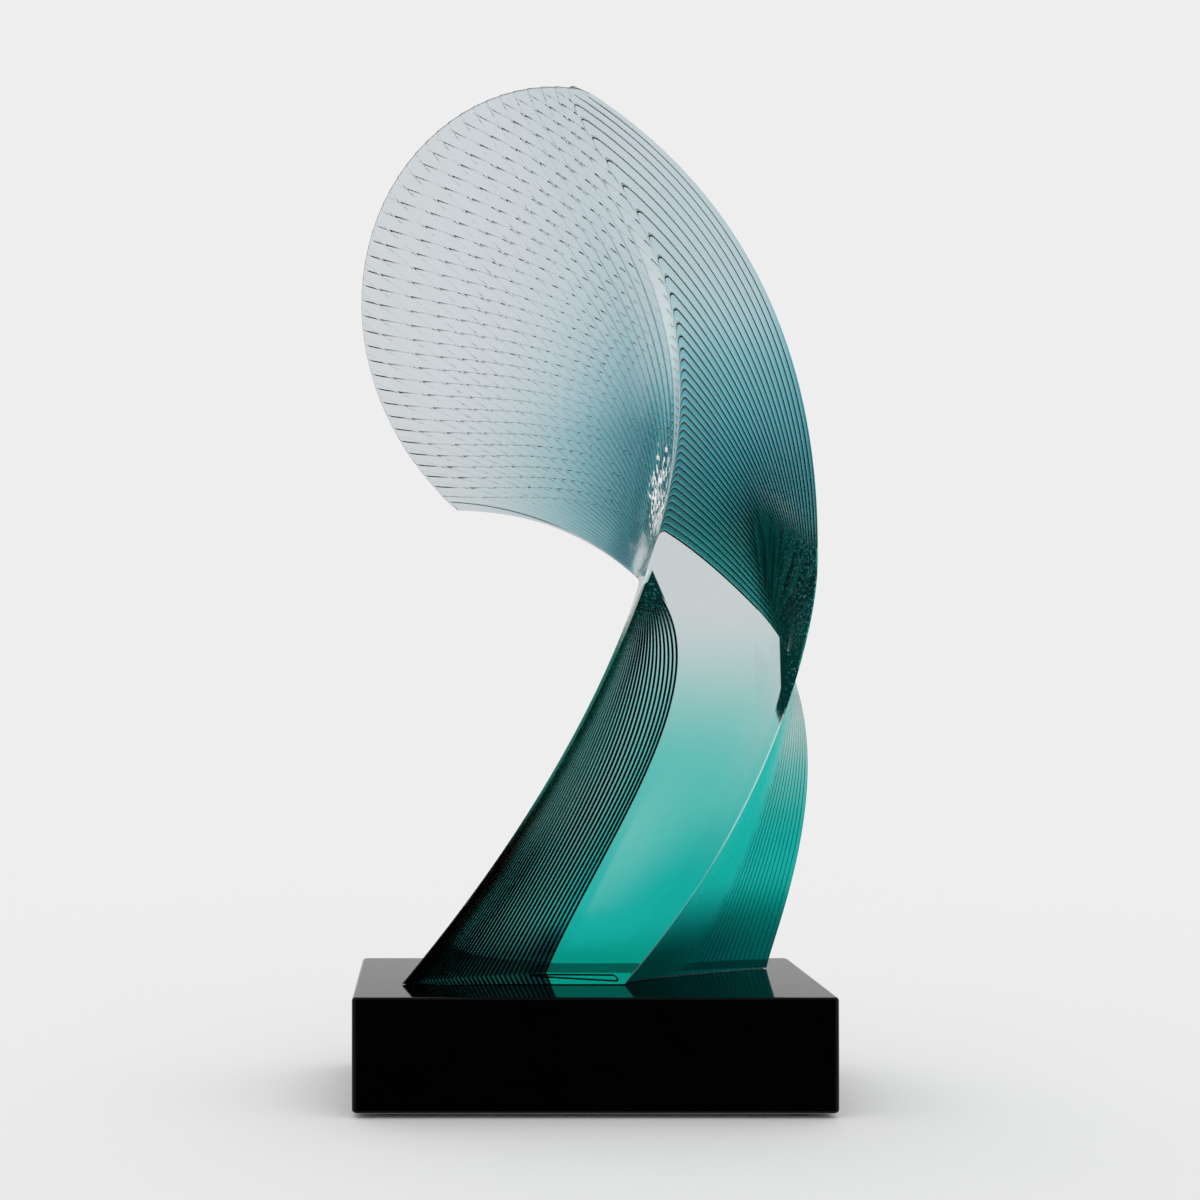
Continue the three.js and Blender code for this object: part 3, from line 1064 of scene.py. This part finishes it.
# The film's clear colour is a dark teal: painted contact shade along the casting's foot
adhesiveLook = {
    "clear": (0.03, 0.12, 0.11, 1), "spot": (0.08, 0.2, 0.18, 1), "spotNoise": (400, 1),
    "spotShare": (0.62, 0.7), "roughness": (0.04, 0.29), "index": 1.48,
}


def makeAdhesive():
    paint = newMaterial("adhesivePaintedShade")
    look = adhesiveLook
    spots = paint.noise(*look["spotNoise"]).eased(*look["spotShare"])
    return paint.surface(paint.principled({
        "Base Color": paint.mix(spots, look["clear"], look["spot"]),
        "Roughness": between(look["roughness"], spots), "IOR": look["index"], "Transmission Weight": 1.0,
    }))


# Four soft pads under the base
padShape = {
    "radius": 9, "height": 2, "round": 0.5, "x": 84, "y": 44, "sides": 64, "rings": 5,
    "sharpAngle": 40,
}


def makePad(name, node, x, y, material):
    shape = padShape
    edge = quarterTurn(shape["round"], shape["rings"])
    profile = [(shape["radius"] - inset, z) for inset, z in edge + [(0.0, shape["height"])]]
    sides = shape["sides"]
    vertices = [(x * mm, y * mm, 0.0), (x * mm, y * mm, shape["height"] * mm)]
    for r, z in profile:
        for k in range(sides):
            angle = 2 * math.pi * k / sides
            vertices.append(((x + r * math.cos(angle)) * mm, (y + r * math.sin(angle)) * mm, z * mm))
    faces = []
    last = 2 + (len(profile) - 1) * sides
    for k in range(sides):
        n = (k + 1) % sides
        faces.append((0, 2 + n, 2 + k))
        for a in range(2, last, sides):
            faces.append((a + k, a + n, a + sides + n, a + sides + k))
        faces.append((1, last + k, last + n))
    pad = newObject(name, vertices, faces, material)
    pad.data.set_sharp_from_angle(angle=math.radians(shape["sharpAngle"]))
    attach(pad, "root")
    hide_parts(node)


rubberLook = {
    "dark": (0.008, 0.008, 0.009, 1), "pale": (0.025, 0.025, 0.026, 1), "grainNoise": (900, 3, 0.6),
    "roughness": (0.75, 0.95), "bump": 0.15, "bumpDeep": 0.0003,
}


def makeRubber():
    paint = newMaterial("padRubber")
    look = rubberLook
    grain = paint.noise(*look["grainNoise"])
    return paint.surface(paint.principled({
        "Base Color": paint.mix(grain, look["dark"], look["pale"]),
        "Roughness": between(look["roughness"], grain),
        "Normal": paint.bump(grain, look["bump"], look["bumpDeep"]),
    }))


casting = makeCasting(makeResin())
print("casting made", len(casting.data.polygons), "faces")
makeBase(makeLacquer())
makeFilm(makeAdhesive())
rubber = makeRubber()
for depthName, ySign in (("front", -1), ("back", 1)):
    for sideName, xSign in (("left", -1), ("right", 1)):
        x = xSign * padShape["x"]
        y = ySign * padShape["y"]
        makePad(f"pad_{depthName}_{sideName}", f"foot_{depthName}_{sideName}", x, y, rubber)
print("base, film and pads made")


# Pale floor and even light
stageLook = {
    "pale": (0.855, 0.855, 0.855, 1), "light": (1, 1, 1, 1), "floorHalf": 30,
    "floorDark": (0.853, 0.853, 0.853, 1), "floorPale": (0.857, 0.857, 0.857, 1), "floorScale": 3,
    "bounces": 24, "glossyBounces": 8,
}


def makeStage():
    look = stageLook
    half = look["floorHalf"]
    paint = newMaterial("paleFloor")
    speckle = paint.mix(paint.noise(look["floorScale"]), look["floorDark"], look["floorPale"])
    shader = paint.principled({"Base Color": speckle, "Roughness": 1.0, "Specular IOR Level": 0.0})
    corners = [(-half, -half, 0), (half, -half, 0), (half, half, 0), (-half, half, 0)]
    floor = newObject("floor", corners, [(0, 1, 2, 3)], paint.surface(shader), isSmooth=False)
    floor.visible_glossy = False

    # The camera, mirrors and glass see the pale room, and everything is lit by a brighter one
    world = bpy.data.worlds.new("paleRoom")
    scene.world = world
    paint = Paint(world)
    camera, glossy, through = (
        paint.node("LightPath", output=f"Is {kind} Ray")
        for kind in ("Camera", "Glossy", "Transmission")
    )
    colour = paint.mix((camera + glossy + through).held(), look["light"], look["pale"])
    background = paint.node("Background", {"Color": colour, "Strength": 1.0})
    paint.node("OutputWorld", {"Surface": background})


# A dark flag behind the camera that only mirrors show, so that gloss black stays black
flagShape = {"y": -2.2, "halfWidth": 2.4, "bottom": -1.5, "top": 2.6, "colour": (0.004, 0.004, 0.004, 1)}


def makeFlag():
    shape = flagShape
    paint = newMaterial("darkFlag")
    shader = paint.principled({"Base Color": shape["colour"], "Roughness": 1.0})
    x, y, bottom, top = (shape[name] for name in ("halfWidth", "y", "bottom", "top"))
    corners = [(-x, y, bottom), (x, y, bottom), (x, y, top), (-x, y, top)]
    flag = newObject("flag", corners, [(0, 1, 2, 3)], paint.surface(shader), isSmooth=False)
    for kind in ("camera", "transmission", "diffuse", "shadow"):
        setattr(flag, f"visible_{kind}", False)


# Place in mm and tilt in degrees. Focal length and picture centre in pixels of the frame.
cameraView = {
    "x": -65, "y": -861, "z": 175.4, "tilt": 0.8,
    "focal": 1954, "centre": (437, 690), "frame": 1200, "sensor": 36,
}


def makeCamera():
    view = cameraView
    data = bpy.data.cameras.new("camera")
    data.sensor_width = view["sensor"]
    data.lens = view["focal"] / view["frame"] * data.sensor_width
    raised = view["focal"] * math.tan(math.radians(view["tilt"]))
    half = view["frame"] / 2
    data.shift_x = (half - view["centre"][0]) / view["frame"]
    data.shift_y = (view["centre"][1] - raised - half) / view["frame"]
    camera = bpy.data.objects.new("camera", data)
    camera.location = [view[axis] * mm for axis in "xyz"]
    camera.rotation_euler = (math.radians(90 + view["tilt"]), 0, 0)
    scene.collection.objects.link(camera)
    scene.camera = camera


makeStage()
makeFlag()
makeCamera()
scene.view_settings.view_transform = "Standard"
scene.cycles.max_bounces = stageLook["bounces"]
scene.cycles.transmission_bounces = stageLook["bounces"]
scene.cycles.glossy_bounces = stageLook["glossyBounces"]
print("stage, lights and camera made")
